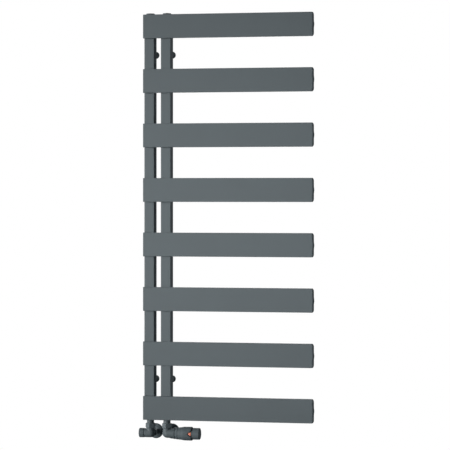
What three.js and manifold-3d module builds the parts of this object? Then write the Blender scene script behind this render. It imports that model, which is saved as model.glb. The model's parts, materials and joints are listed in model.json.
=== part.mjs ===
// Asymmetric flat-panel towel radiator with a thermostatic valve, a lockshield valve and four wall brackets.
//
// Millimetres, +Z up. The wall is the plane y = 0 and the radiator hangs in front of it, towards -Y.
// The origin is the centre of the lower left bracket's wall face. Left and right are as seen from the room.

import * as THREE from 'three';
import { mergeVertices } from 'three/addons/utils/BufferGeometryUtils.js';
import Module from 'manifold-3d';

const wasm = await Module();
wasm.setup();

// ---- Driving dimensions ----

const ROUND = 20; // sides of a turned piece
const SMALL_ROUND = 12; // sides of a small bore, pin or screw
const HEAD_ROUND = 24; // sides of the thermostatic head
const HEX = 6;
const GAP = 0.2; // between welded or seated pieces
const REACH = 1; // how far a cutter runs past the face it opens

const PANEL = {
  count: 8, length: 504, height: 70, depth: 11, pitch: 160, wall: 1.3, corner: 1.2,
  crossover: 35, // open length at the free end, where the upper channel turns into the lower one
};

const END_CAP = { reach: 5.5, corner: 9, crownRise: 1.2, crownHalf: 12 };

const COLLECTOR = {
  side: 30, spacing: 50, wall: 1.5, corner: 1.5, inset: 1, drop: 1, rise: 2, endPlate: 12,
};

const PORT = { radius: 6, offset: 17 }; // where a panel's channels open into the collectors

const WALL_GAP = 50; // from the wall to the back of the collectors

const THREAD = { radius: 10, bore: 10.3, length: 10 }; // half-inch pipe thread in a collector's end

const PLUG = { radius: 12.5, height: 3.6, edge: 1.4, lead: 1, socket: 5.8, socketDepth: 4.5 };
const SEAL = { inner: 10.5, outer: 12, height: 1.2 };
const BLEED = {
  radius: 2.5, nose: 0.8, way: 1.25, head: 3.6, rise: 1, slot: 0.8, outlet: 0.8, outletRise: 1.2, length: 12,
};

const BRACKET = {
  flange: 10.5, flangeDepth: 10, sleeve: 9, sleeveLength: 38, bore: 6.3, floor: 5,
  edge: 1, screwHole: 2.2, screwOffset: 3.6, stud: 6, studEnd: 12, boss: 9, bossDepth: 4,
  grub: 2.4, grubBore: 2.7, grubAt: 30, grubLength: 2.4, grubSocket: 1.3, grubSocketDepth: 1.2,
};

const UNION = {
  from: 15, to: 29.6, corner: 15, chamfer: 1.2, bore: 11.7, shoulder: 24.9, mouth: 10.8,
  collar: 11.2, collarFrom: 20.9, collarTo: 24.5, neck: 10.5, way: 7.5,
};

const BODY = {
  drop: 40, // valve axis below the lowest panel's lower edge
  ball: 13.6, ballSides: 16, ballRings: 10,
  riser: 12.4, riserTo: 14.5, thread: 11.2, threadTo: 20.5,
  tail: 11, tailTo: 20, way: 6, wayFrom: 9.8, socket: 8, socketFrom: 14.2,
  passage: 3.3, passageFrom: 4.25, upperPassage: 4, rearPassage: 6,
  chamber: 8.5, seat: 5, seatDepth: 3, rear: 6.5, rearDepth: 9,
};

const WALL_PIPE = { radius: 7.5, bore: 6.5, from: 14.6 };
const TAIL_NUT = { from: 14.6, to: 31, corner: 14.6, chamfer: 1.2, bore: 11.4, step: 26, mouth: 7.9 };
const ROSETTE = {
  radius: 22.5, depth: 9, rim: 1.8, innerRim: 1, shoulder: 19.5, shoulderDepth: 5.5, crown: 12,
  bore: 7.8, wall: 1.6,
};

const LOCKSHIELD = {
  barrel: 13.4, end: 17,
  insert: { radius: 8.2, from: 7.6, flange: 10.4, flangeTo: 21, neck: 6, to: 25, bore: 4.2 },
  spindle: { radius: 4, from: 8, to: 27, socket: 2.9, socketDepth: 6 },
  disc: { radius: 6.5, nose: 4.6, from: 3.2, to: 7.2, noseLength: 1 },
  cap: { radius: 13.8, from: 17.5, to: 33, bore: 11, wall: 2.5, edge: 1.2 },
};

const THERMOSTAT = {
  barrel: 14, shoulder: 20.6, neck: 13.4, end: 23.6, pocket: 10, pocketFrom: 18,
  insert: {
    radius: 8.2, from: 7.6, hex: 9.6, hexTo: 23, neck: 5, to: 30, bore: 1.9, pocket: 5, pocketTo: 15,
  },
  pin: { radius: 1.6, to: 39.8, disc: 6.5, discFrom: 1.4, discTo: 4 },
  spring: { radius: 3.5, wire: 0.55, from: 8.4, to: 14.2, turns: 4, stepsPerTurn: 8, arcSteps: 3 },
};

const HEAD = {
  collar: { radius: 16.7, from: 21, to: 27.8, edge: 0.8, bore: 13.8, lip: 10.4, lipFrom: 26 },
  sleeve: {
    flange: 13.2, flangeFrom: 24, flangeTo: 25.6, spigot: 10, from: 28.2, to: 76.6,
    start: 17.5, waistTo: 44, waist: 18.5, flareTo: 52, flare: 20, radius: 20.3,
    way: 5.6, floor: 36, cavity: 14.2, bore: 17.75, boreFrom: 52,
  },
  notch: { apex: 64.6, half: 10.4, floor: 18.4 },
  marker: { apex: 67.2, half: 6.2, end: 76, floor: 18.6, top: 19.3 },
  knob: { radius: 17.05, from: 54, to: 100, bore: 14, wall: 5, edge: 2.6, shoulder: 0.65, shoulderDrop: 0.9 },
  sensor: { radius: 13.4, from: 46, to: 90.3, pusher: 3, pusherFrom: 40, edge: 2 },
};

const TOWARDS_LEFT = -1;
const TOWARDS_RIGHT = 1;

// ---- Derived positions ----

const collectorY = -(WALL_GAP + COLLECTOR.side / 2);
const panelY = -(WALL_GAP + COLLECTOR.side + GAP + PANEL.depth / 2);
const panelLeft = -(COLLECTOR.side / 2 + COLLECTOR.inset);
const lowestPanelZ = -PANEL.pitch / 2;
const highestPanelZ = lowestPanelZ + (PANEL.count - 1) * PANEL.pitch;
const collectorBottom = lowestPanelZ - PANEL.height / 2 + COLLECTOR.rise;
const collectorTop = highestPanelZ + PANEL.height / 2 - COLLECTOR.drop;
const valveZ = lowestPanelZ - PANEL.height / 2 - BODY.drop;
const upperBracketZ = (PANEL.count - 2) * PANEL.pitch;

// ---- Finishes ----

const FINISH = {
  powderCoat: { color: 0x5f686b, roughness: 0.6, metalness: 0.1 },
  headPlastic: { color: 0x565e61, roughness: 0.5, metalness: 0 },
  copperPlastic: { color: 0xd8704c, roughness: 0.35, metalness: 0.3 },
  brass: { color: 0xb5974f, roughness: 0.35, metalness: 1 },
  steel: { color: 0xb9bdc0, roughness: 0.3, metalness: 1 },
  rubber: { color: 0x17181a, roughness: 0.85, metalness: 0 },
  waxCapsule: { color: 0xd9d6cc, roughness: 0.5, metalness: 0 },
};

// ---- Geometry helpers ----

/** Welds a geometry's seams, drops its collapsed triangles and turns it into a solid that faces outwards. */
function solid(geometry) {
  const bare = geometry.index ? geometry.toNonIndexed() : geometry.clone();
  bare.deleteAttribute('normal');
  bare.deleteAttribute('uv');
  const welded = mergeVertices(bare, 1e-4);
  const place = welded.attributes.position;
  const corner = [new THREE.Vector3(), new THREE.Vector3(), new THREE.Vector3()];
  const triangles = [];
  let volume = 0;
  for (let i = 0; i < welded.index.count; i += 3) {
    const triangle = [0, 1, 2].map((k) => welded.index.getX(i + k));
    if (new Set(triangle).size === 3) {
      triangles.push(triangle);
      triangle.forEach((vertex, k) => corner[k].fromBufferAttribute(place, vertex));
      volume += corner[0].dot(corner[1].cross(corner[2]));
    }
  }
  const outward = volume > 0 ? triangles : triangles.map(([a, b, c]) => [a, c, b]);
  return new wasm.Manifold(new wasm.Mesh({
    numProp: 3,
    vertProperties: Float32Array.from(place.array),
    triVerts: Uint32Array.from(outward.flat()),
  }));
}

/** One named node of the assembly. */
function part(name, shape, finish) {
  const { vertProperties, triVerts } = shape.getMesh();
  const geometry = new THREE.BufferGeometry();
  geometry.setAttribute('position', new THREE.BufferAttribute(vertProperties, 3));
  geometry.setIndex(new THREE.BufferAttribute(triVerts, 1));
  geometry.computeVertexNormals();
  const mesh = new THREE.Mesh(geometry, new THREE.MeshStandardMaterial({ ...finish }));
  mesh.name = name;
  return mesh;
}

/** A group of parts at a place. */
function groupAt(x, y, z, parts) {
  const group = new THREE.Group();
  group.position.set(x, y, z);
  group.add(...parts);
  return group;
}

const FROM_LATHE = {
  x: (geometry) => geometry.rotateZ(-Math.PI / 2),
  y: (geometry) => geometry,
  z: (geometry) => geometry.rotateX(Math.PI / 2),
};

/** A turned solid from [along, radius] stations, closed onto its axis at both ends. */
function turned(axis, stations, sides = ROUND) {
  const first = [stations[0][0], 0];
  const last = [stations.at(-1)[0], 0];
  const profile = [first, ...stations, last].map(([along, radius]) => new THREE.Vector2(radius, along));
  return solid(FROM_LATHE[axis](new THREE.LatheGeometry(profile, sides)));
}

/** A plain round bar along an axis. */
function rod(axis, radius, from, to, sides = ROUND) {
  return turned(axis, [[from, radius], [to, radius]], sides);
}

/** A bar whose two end edges are chamfered. */
function chamferedRod(axis, radius, from, to, chamfer, sides = ROUND) {
  const step = Math.sign(to - from) * chamfer;
  return turned(axis, [
    [from, radius - chamfer], [from + step, radius], [to - step, radius], [to, radius - chamfer],
  ], sides);
}

/** A box between two opposite corners. */
function block(low, high) {
  const size = high.map((value, k) => value - low[k]);
  const middle = high.map((value, k) => (value + low[k]) / 2);
  return solid(new THREE.BoxGeometry(...size).translate(...middle));
}

/** A rectangle with rounded corners, centred on the origin. */
function roundedRectangle(width, height, radius) {
  const x = width / 2 - radius;
  const y = height / 2 - radius;
  const quarter = Math.PI / 2;
  const shape = new THREE.Shape();
  shape.absarc(x, y, radius, 0, quarter);
  shape.absarc(-x, y, radius, quarter, 2 * quarter);
  shape.absarc(-x, -y, radius, 2 * quarter, 3 * quarter);
  shape.absarc(x, -y, radius, 3 * quarter, 4 * quarter);
  shape.closePath();
  return shape;
}

/** A wedge with its point at apex and its mouth at end, lying along X, that crosses the -Y side. */
function frontWedge(apex, end, half, depth) {
  const shape = new THREE.Shape([
    new THREE.Vector2(apex, 0), new THREE.Vector2(end, -half), new THREE.Vector2(end, half),
  ]);
  const wedge = new THREE.ExtrudeGeometry(shape, { depth, bevelEnabled: false });
  return solid(wedge.rotateX(Math.PI / 2));
}

/** Mirrors the stations of a turned solid to the side that a valve's actuator points to. */
function towards(side, stations) {
  return stations.map(([along, radius]) => [side * along, radius]);
}

// ---- Panels and collectors ----

/** A flat tube, closed at its left end, with a web that parts its upper channel from its lower one. */
function panelShape() {
  const section = roundedRectangle(PANEL.depth, PANEL.height, PANEL.corner);
  const tube = new THREE.ExtrudeGeometry(
    section, { depth: PANEL.length, bevelEnabled: false, curveSegments: 3 },
  );
  const innerDepth = PANEL.depth / 2 - PANEL.wall;
  const innerHeight = PANEL.height / 2 - PANEL.wall;
  const web = PANEL.wall / 2;
  const right = PANEL.length + REACH;
  const lower = block([PANEL.wall, -innerDepth, -innerHeight], [right, innerDepth, -web]);
  const upper = block([PANEL.wall, -innerDepth, web], [right, innerDepth, innerHeight]);
  const turnFrom = PANEL.length - PANEL.crossover;
  const turn = block([turnFrom, -innerDepth, -innerHeight], [right, innerDepth, innerHeight]);
  const portFrom = innerDepth - REACH;
  const portTo = PANEL.depth / 2 + REACH;
  const leftPort = solid(portRod(portFrom, portTo).translate(-panelLeft, 0, -PORT.offset));
  const rightPort = solid(portRod(portFrom, portTo).translate(COLLECTOR.spacing - panelLeft, 0, PORT.offset));
  return solid(tube.rotateX(Math.PI / 2).rotateZ(Math.PI / 2))
    .subtract(lower).subtract(upper).subtract(turn).subtract(leftPort).subtract(rightPort);
}

/** The round cutter of a port, along Y. */
function portRod(from, to) {
  const length = to - from;
  return new THREE.CylinderGeometry(PORT.radius, PORT.radius, length, SMALL_ROUND)
    .translate(0, from + length / 2, 0);
}

/** A domed cap with rounded upper and lower corners and a shallow crown at its middle. */
function endCapShape() {
  const { reach, corner, crownRise, crownHalf } = END_CAP;
  const half = PANEL.height / 2;
  const quarter = Math.PI / 2;
  const front = new THREE.Shape();
  front.moveTo(0, -half);
  front.absellipse(0, corner - half, reach, corner, -quarter, 0);
  front.lineTo(reach, -crownHalf);
  front.quadraticCurveTo(reach + 2 * crownRise, 0, reach, crownHalf);
  front.lineTo(reach, half - corner);
  front.absellipse(0, half - corner, reach, corner, 0, quarter);
  front.closePath();
  const slab = new THREE.ExtrudeGeometry(
    front, { depth: PANEL.depth, bevelEnabled: false, curveSegments: 4 },
  );

  const plan = new THREE.Shape();
  plan.absellipse(0, 0, reach + crownRise, PANEL.depth / 2, -quarter, quarter);
  plan.closePath();
  const dome = new THREE.ExtrudeGeometry(
    plan, { depth: PANEL.height, bevelEnabled: false, curveSegments: 8 },
  );
  return solid(slab.rotateX(Math.PI / 2).translate(0, PANEL.depth / 2, 0))
    .intersect(solid(dome.translate(0, 0, -half)));
}

/** A square tube with a threaded plate in each end and one port for each panel. */
function collectorShape(portOffset) {
  const { side, wall, corner, endPlate } = COLLECTOR;
  const length = collectorTop - collectorBottom;
  const tube = new THREE.ExtrudeGeometry(
    roundedRectangle(side, side, corner), { depth: length, bevelEnabled: false, curveSegments: 3 },
  );
  const inner = side / 2 - wall;
  let shape = solid(tube.translate(0, 0, collectorBottom))
    .subtract(block([-inner, -inner, collectorBottom + endPlate], [inner, inner, collectorTop - endPlate]))
    .subtract(rod('z', THREAD.bore, collectorBottom - REACH, collectorBottom + endPlate + REACH))
    .subtract(rod('z', THREAD.bore, collectorTop - endPlate - REACH, collectorTop + REACH));
  for (let i = 0; i < PANEL.count; i += 1) {
    const z = lowestPanelZ + i * PANEL.pitch + portOffset;
    shape = shape.subtract(solid(portRod(-side / 2 - REACH, -inner + REACH).translate(0, 0, z)));
  }
  return shape;
}

function panels() {
  const tube = panelShape();
  const cap = endCapShape();
  const parts = [];
  for (let i = 0; i < PANEL.count; i += 1) {
    const z = highestPanelZ - i * PANEL.pitch;
    parts.push(groupAt(panelLeft, panelY, z, [part(`panel_${i + 1}`, tube, FINISH.powderCoat)]));
    parts.push(groupAt(panelLeft + PANEL.length + GAP, panelY, z, [
      part(`panel_end_cap_${i + 1}`, cap, FINISH.powderCoat),
    ]));
  }
  return parts;
}

function collectors() {
  const left = part('collector_left', collectorShape(-PORT.offset), FINISH.powderCoat);
  const right = part('collector_right', collectorShape(PORT.offset), FINISH.powderCoat);
  return [groupAt(0, collectorY, 0, [left]), groupAt(COLLECTOR.spacing, collectorY, 0, [right])];
}

// ---- Top plugs ----

/** The ring that seals a plug's flange on the collector's end. */
function sealShape() {
  return rod('z', SEAL.outer, GAP, GAP + SEAL.height)
    .subtract(rod('z', SEAL.inner, GAP - REACH, GAP + SEAL.height + REACH));
}

/** A round flange with a threaded shank under it. Its local zero is the collector's top face. */
function plugShape() {
  const under = SEAL.height + 2 * GAP;
  const top = under + PLUG.height;
  return turned('z', [
    [-THREAD.length, THREAD.radius - PLUG.lead], [PLUG.lead - THREAD.length, THREAD.radius],
    [under, THREAD.radius], [under, PLUG.radius], [top - PLUG.edge, PLUG.radius],
    [top, PLUG.radius - PLUG.edge],
  ]);
}

function blindPlug() {
  const top = SEAL.height + 2 * GAP + PLUG.height;
  const socket = rod('z', PLUG.socket, top - PLUG.socketDepth, top + REACH, HEX);
  return [
    part('blind_plug', plugShape().subtract(socket), FINISH.powderCoat),
    part('blind_plug_seal', sealShape(), FINISH.rubber),
  ];
}

function airVent() {
  const top = SEAL.height + 2 * GAP + PLUG.height;
  const screwFrom = top + BLEED.rise - BLEED.length;
  const neckTo = top - PLUG.edge;
  const bore = turned('z', [
    [-THREAD.length - REACH, BLEED.way], [screwFrom - GAP, BLEED.way],
    [screwFrom - GAP, BLEED.radius + GAP], [neckTo, BLEED.radius + GAP],
    [neckTo, BLEED.head + GAP], [top + REACH, BLEED.head + GAP],
  ], SMALL_ROUND);
  const outletZ = SEAL.height + 2 * GAP + BLEED.outletRise;
  const outlet = new THREE.CylinderGeometry(BLEED.outlet, BLEED.outlet, PLUG.radius + REACH, SMALL_ROUND);
  const outletCut = solid(outlet.translate(0, -(PLUG.radius + REACH) / 2, outletZ));
  const slotTop = top + BLEED.rise;
  const slot = block(
    [-PLUG.radius, -BLEED.slot, slotTop - BLEED.rise], [PLUG.radius, BLEED.slot, slotTop + REACH],
  );
  const screw = turned('z', [
    [screwFrom, BLEED.nose], [screwFrom + BLEED.radius, BLEED.radius], [neckTo + GAP, BLEED.radius],
    [neckTo + GAP, BLEED.head], [slotTop, BLEED.head],
  ], SMALL_ROUND).subtract(slot);
  return [
    part('air_vent_body', plugShape().subtract(bore).subtract(outletCut), FINISH.powderCoat),
    part('air_vent_screw', screw, FINISH.brass),
    part('air_vent_seal', sealShape(), FINISH.rubber),
  ];
}

// ---- Wall brackets ----

/** A flanged socket that runs from the wall towards -Y, with an eccentric screw hole in its floor. */
function bracketSleeveShape() {
  const b = BRACKET;
  const outside = turned('y', [
    [-b.sleeveLength, b.sleeve], [-b.flangeDepth, b.sleeve], [-b.flangeDepth, b.flange - b.edge],
    [b.edge - b.flangeDepth, b.flange], [0, b.flange],
  ]);
  const screwHole = new THREE.CylinderGeometry(b.screwHole, b.screwHole, b.floor + 2 * REACH, SMALL_ROUND);
  const grubHole = rod('z', b.grubBore, -b.sleeve - REACH, -b.bore + REACH, SMALL_ROUND);
  return outside
    .subtract(rod('y', b.bore, -b.sleeveLength - REACH, -b.floor))
    .subtract(solid(screwHole.translate(0, -b.floor / 2, b.screwOffset)))
    .subtract(shifted(grubHole, 0, -b.grubAt, 0));
}

/** The collector's stud: a welded boss and a plain shank that slides in the wall sleeve. */
function bracketStudShape() {
  const b = BRACKET;
  const root = -WALL_GAP + GAP;
  return turned('y', [
    [root, b.boss], [root + b.bossDepth, b.boss], [root + b.bossDepth, b.stud], [-b.studEnd, b.stud],
  ]);
}

/** The set screw that locks the stud from below. */
function grubScrewShape() {
  const b = BRACKET;
  const inner = -b.stud - GAP;
  const outer = inner - b.grubLength;
  const socket = rod('z', b.grubSocket, outer - REACH, outer + b.grubSocketDepth, HEX);
  return shifted(rod('z', b.grub, outer, inner, SMALL_ROUND).subtract(socket), 0, -b.grubAt, 0);
}

/** Moves a solid by rebuilding it from its moved vertices. */
function shifted(shape, x, y, z) {
  const { vertProperties, triVerts } = shape.getMesh();
  const geometry = new THREE.BufferGeometry();
  geometry.setAttribute('position', new THREE.BufferAttribute(vertProperties, 3));
  geometry.setIndex(new THREE.BufferAttribute(triVerts, 1));
  return solid(geometry.translate(x, y, z));
}

function brackets() {
  const sleeve = bracketSleeveShape();
  const stud = bracketStudShape();
  const grub = grubScrewShape();
  const groups = [];
  for (const [level, z] of [['lower', 0], ['upper', upperBracketZ]]) {
    for (const [side, x] of [['left', 0], ['right', COLLECTOR.spacing]]) {
      groups.push(groupAt(x, 0, z, [
        part(`bracket_${level}_${side}_sleeve`, sleeve, FINISH.powderCoat),
        part(`bracket_${level}_${side}_stud`, stud, FINISH.powderCoat),
        part(`bracket_${level}_${side}_grub_screw`, grub, FINISH.steel),
      ]));
    }
  }
  return groups;
}

// ---- What both valves share ----
// A valve's local zero is where its axes cross. Its actuator points along side * X, its tail along +Y.

/** The corner body: a ball with a riser, a barrel and a tail, bored as two chambers parted by a seat. */
function valveBodyShape(side, barrelStations, boreStations) {
  const b = BODY;
  const ball = solid(new THREE.SphereGeometry(b.ball, b.ballSides, b.ballRings));
  const riser = turned('z', [
    [0, b.riser], [b.riserTo, b.riser], [b.riserTo, b.thread], [b.threadTo, b.thread],
  ]);
  const barrel = turned('x', towards(side, barrelStations));
  const tail = rod('y', b.tail, 0, b.tailTo);
  const bore = turned('x', towards(side, [
    [-b.rearDepth, b.rear], [-b.seatDepth, b.rear], [-b.seatDepth, b.seat], [0, b.seat],
    [0, b.chamber], ...boreStations,
  ]));
  const upperWay = rod('z', b.way, b.wayFrom, b.threadTo + REACH);
  const upperPassage = shifted(
    rod('z', b.passage, b.passageFrom, b.riserTo, SMALL_ROUND), side * b.upperPassage, 0, 0,
  );
  const rearWay = turned('y', [
    [b.wayFrom, b.way], [b.socketFrom, b.way], [b.socketFrom, b.socket], [b.tailTo + REACH, b.socket],
  ]);
  const rearPassage = shifted(
    rod('y', b.passage, 0, b.socketFrom, SMALL_ROUND), -side * b.rearPassage, 0, 0,
  );
  return ball.add(riser).add(barrel).add(tail)
    .subtract(bore).subtract(upperWay).subtract(upperPassage).subtract(rearWay).subtract(rearPassage);
}

/** The tailpiece that screws into the collector and carries the union nut on its collar. */
function nippleShape() {
  const u = UNION;
  const collectorFace = collectorBottom - valveZ;
  const outside = turned('z', [
    [u.collarFrom, u.collar - GAP], [u.collarFrom + GAP, u.collar],
    [u.collarTo, u.collar], [u.collarTo, u.neck],
    [collectorFace - GAP, u.neck], [collectorFace - GAP, THREAD.radius],
    [collectorFace + THREAD.length, THREAD.radius],
  ]);
  return outside.subtract(rod('z', u.way, u.collarFrom - REACH, collectorFace + THREAD.length + REACH));
}

function unionNutShape() {
  const u = UNION;
  const bore = turned('z', [
    [u.from - REACH, u.bore], [u.shoulder, u.bore], [u.shoulder, u.mouth], [u.to + REACH, u.mouth],
  ]);
  return chamferedRod('z', u.corner, u.from, u.to, u.chamfer, HEX).subtract(bore);
}

function tailNutShape() {
  const n = TAIL_NUT;
  const bore = turned('y', [
    [n.from - REACH, n.bore], [n.step, n.bore], [n.step, n.mouth], [n.to + REACH, n.mouth],
  ]);
  return chamferedRod('y', n.corner, n.from, n.to, n.chamfer, HEX).subtract(bore);
}

/** The coated copper pipe from the valve's tail to the wall. */
function wallPipeShape() {
  const p = WALL_PIPE;
  return rod('y', p.radius, p.from, -collectorY)
    .subtract(rod('y', p.bore, p.from - REACH, REACH - collectorY));
}

/** The thin dished cover that hides the hole in the wall. */
function rosetteShape() {
  const r = ROSETTE;
  const wallAt = -collectorY;
  const face = (inset, rim) => [
    [wallAt, r.radius - inset], [wallAt - rim, r.radius - inset],
    [wallAt - r.shoulderDepth + inset, r.shoulder - inset], [wallAt - r.depth + inset, r.crown - inset],
  ];
  const hollow = face(r.wall, r.innerRim);
  hollow[0][0] += REACH;
  return turned('y', face(0, r.rim))
    .subtract(turned('y', hollow))
    .subtract(rod('y', r.bore, wallAt - r.depth - REACH, wallAt + REACH));
}

/** The pieces that join a valve to its collector and to the pipe in the wall. */
function connections(valve, pipe) {
  return [
    part(`${valve}_nipple`, nippleShape(), FINISH.powderCoat),
    part(`${valve}_union_nut`, unionNutShape(), FINISH.powderCoat),
    part(`${valve}_tail_nut`, tailNutShape(), FINISH.powderCoat),
    part(`${pipe}_pipe`, wallPipeShape(), FINISH.powderCoat),
    part(`${pipe}_rosette`, rosetteShape(), FINISH.powderCoat),
  ];
}

// ---- Lockshield valve ----

function lockshieldValve() {
  const side = TOWARDS_LEFT;
  const { barrel, end, insert, spindle, disc, cap } = LOCKSHIELD;
  const body = valveBodyShape(side, [[0, barrel], [end, barrel]], [[end + REACH, BODY.chamber]]);
  const insertShape = turned('x', towards(side, [
    [insert.from, insert.radius], [end + GAP, insert.radius], [end + GAP, insert.flange],
    [insert.flangeTo, insert.flange], [insert.flangeTo, insert.neck], [insert.to, insert.neck],
  ])).subtract(rod('x', insert.bore, side * (insert.from - REACH), side * (insert.to + REACH)));
  const spindleSocket = rod(
    'x', spindle.socket, side * (spindle.to - spindle.socketDepth), side * (spindle.to + REACH), HEX,
  );
  const spindleShape = rod('x', spindle.radius, side * spindle.from, side * spindle.to, SMALL_ROUND)
    .subtract(spindleSocket);
  const discShape = turned('x', towards(side, [
    [disc.from, disc.nose], [disc.from + disc.noseLength, disc.nose],
    [disc.from + disc.noseLength, disc.radius], [disc.to, disc.radius],
  ]));
  const capShape = turned('x', towards(side, [
    [cap.from, cap.radius - GAP], [cap.from + GAP, cap.radius], [cap.to - cap.edge, cap.radius],
    [cap.to, cap.radius - cap.edge],
  ])).subtract(rod('x', cap.bore, side * (cap.from - REACH), side * (cap.to - cap.wall)));
  return groupAt(0, collectorY, valveZ, [
    part('lockshield_body', body, FINISH.powderCoat),
    part('lockshield_insert', insertShape, FINISH.brass),
    part('lockshield_spindle', spindleShape, FINISH.brass),
    part('lockshield_disc', discShape, FINISH.rubber),
    part('lockshield_cap', capShape, FINISH.headPlastic),
    ...connections('lockshield', 'return'),
  ]);
}

// ---- Thermostatic valve ----

/** A compression spring along X as one wire. */
function springShape({ radius, wire, from, to, turns, stepsPerTurn, arcSteps }) {
  class Helix extends THREE.Curve {
    getPoint(t, target = new THREE.Vector3()) {
      const angle = 2 * Math.PI * turns * t;
      return target.set(from + (to - from) * t, radius * Math.cos(angle), radius * Math.sin(angle));
    }
  }
  const section = new THREE.Shape();
  section.absarc(0, 0, wire, 0, 2 * Math.PI);
  return solid(new THREE.ExtrudeGeometry(section, {
    extrudePath: new Helix(), steps: turns * stepsPerTurn, curveSegments: arcSteps, bevelEnabled: false,
  }));
}

function thermostaticValve() {
  const t = THERMOSTAT;
  const body = valveBodyShape(
    TOWARDS_RIGHT,
    [[0, t.barrel], [t.shoulder, t.barrel], [t.shoulder, t.neck], [t.end, t.neck]],
    [[t.pocketFrom, BODY.chamber], [t.pocketFrom, t.pocket], [t.end + REACH, t.pocket]],
  );
  const insertHex = rod('x', t.insert.hex, t.pocketFrom + GAP, t.insert.hexTo, HEX);
  const insertBore = turned('x', [
    [t.insert.from - REACH, t.insert.pocket], [t.insert.pocketTo, t.insert.pocket],
    [t.insert.pocketTo, t.insert.bore], [t.insert.to + REACH, t.insert.bore],
  ], SMALL_ROUND);
  const insert = rod('x', t.insert.radius, t.insert.from, t.pocketFrom + REACH)
    .add(insertHex)
    .add(rod('x', t.insert.neck, t.insert.hexTo - REACH, t.insert.to))
    .subtract(insertBore);
  const pin = turned('x', [
    [t.pin.discFrom, t.pin.disc], [t.pin.discTo, t.pin.disc], [t.pin.discTo, t.pin.radius],
    [t.pin.to, t.pin.radius],
  ], SMALL_ROUND);
  return groupAt(COLLECTOR.spacing, collectorY, valveZ, [
    part('thermostatic_body', body, FINISH.powderCoat),
    part('thermostatic_insert', insert, FINISH.brass),
    part('thermostatic_pin', pin, FINISH.steel),
    part('thermostatic_spring', springShape(t.spring), FINISH.steel),
    ...connections('thermostatic', 'supply'),
    ...thermostaticHead(),
  ]);
}

// ---- Thermostatic head ----

function collarShape() {
  const c = HEAD.collar;
  const bore = turned('x', [
    [c.from - REACH, c.bore], [c.lipFrom, c.bore], [c.lipFrom, c.lip], [c.to + REACH, c.lip],
  ]);
  return chamferedRod('x', c.radius, c.from, c.to, c.edge).subtract(bore);
}

/** The fixed sleeve of the head, with a V-shaped recess at the front of its mouth. */
function sleeveShape() {
  const s = HEAD.sleeve;
  const n = HEAD.notch;
  const outside = turned('x', [
    [s.flangeFrom, s.flange], [s.flangeTo, s.flange], [s.flangeTo, s.spigot], [s.from, s.spigot],
    [s.from, s.start], [s.waistTo, s.waist], [s.flareTo, s.flare], [s.to, s.radius],
  ], HEAD_ROUND);
  const inside = turned('x', [
    [s.flangeFrom - REACH, s.way], [s.floor, s.way], [s.floor, s.cavity], [s.boreFrom, s.cavity],
    [s.boreFrom, s.bore], [s.to + REACH, s.bore],
  ], HEAD_ROUND);
  const slope = n.half / (s.to - n.apex);
  const recess = frontWedge(n.apex, s.to + REACH, slope * (s.to + REACH - n.apex), s.radius + REACH)
    .subtract(rod('x', n.floor, n.apex - REACH, s.to + 2 * REACH, HEAD_ROUND));
  return outside.subtract(inside).subtract(recess);
}

/** The triangular pointer in the recess. */
function markerShape() {
  const m = HEAD.marker;
  const tube = rod('x', m.top, m.apex - REACH, m.end + REACH, HEAD_ROUND)
    .subtract(rod('x', m.floor, m.apex - 2 * REACH, m.end + 2 * REACH, HEAD_ROUND));
  return frontWedge(m.apex, m.end, m.half, m.top + REACH).intersect(tube);
}

function knobShape() {
  const k = HEAD.knob;
  const outside = turned('x', [
    [k.from, k.radius], [k.to - k.edge, k.radius], [k.to - k.shoulder, k.radius - k.shoulderDrop],
    [k.to, k.radius - k.edge],
  ], HEAD_ROUND);
  return outside.subtract(rod('x', k.bore, k.from - REACH, k.to - k.wall));
}

/** The wax or liquid capsule that lengthens as the room warms, and pushes the valve pin. */
function sensorShape() {
  const s = HEAD.sensor;
  return turned('x', [
    [s.pusherFrom, s.pusher], [s.from, s.pusher], [s.from, s.radius - s.edge], [s.from + s.edge, s.radius],
    [s.to - s.edge, s.radius], [s.to, s.radius - s.edge],
  ]);
}

function thermostaticHead() {
  return [
    part('head_collar_nut', collarShape(), FINISH.powderCoat),
    part('head_sleeve', sleeveShape(), FINISH.headPlastic),
    part('head_marker', markerShape(), FINISH.copperPlastic),
    part('head_knob', knobShape(), FINISH.headPlastic),
    part('head_sensor', sensorShape(), FINISH.waxCapsule),
  ];
}

// ---- The whole radiator ----

const radiator = new THREE.Group();
radiator.name = 'radiator_with_valve';
radiator.add(
  ...panels(),
  ...collectors(),
  groupAt(0, collectorY, collectorTop, blindPlug()),
  groupAt(COLLECTOR.spacing, collectorY, collectorTop, airVent()),
  ...brackets(),
  lockshieldValve(),
  thermostaticValve(),
);

export default radiator;
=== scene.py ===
# Looks of an anthracite flat-panel towel radiator with its two valves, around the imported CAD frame.
#
# The constants below give what a closer look adds, such as rounded edges, weld beads and chamfers. Shapes
# are worked out in millimetres, in the frame's own axes, and become metres as each mesh is made. The wall
# is the plane y = 0 and the front is -Y.

import json
import math

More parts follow.
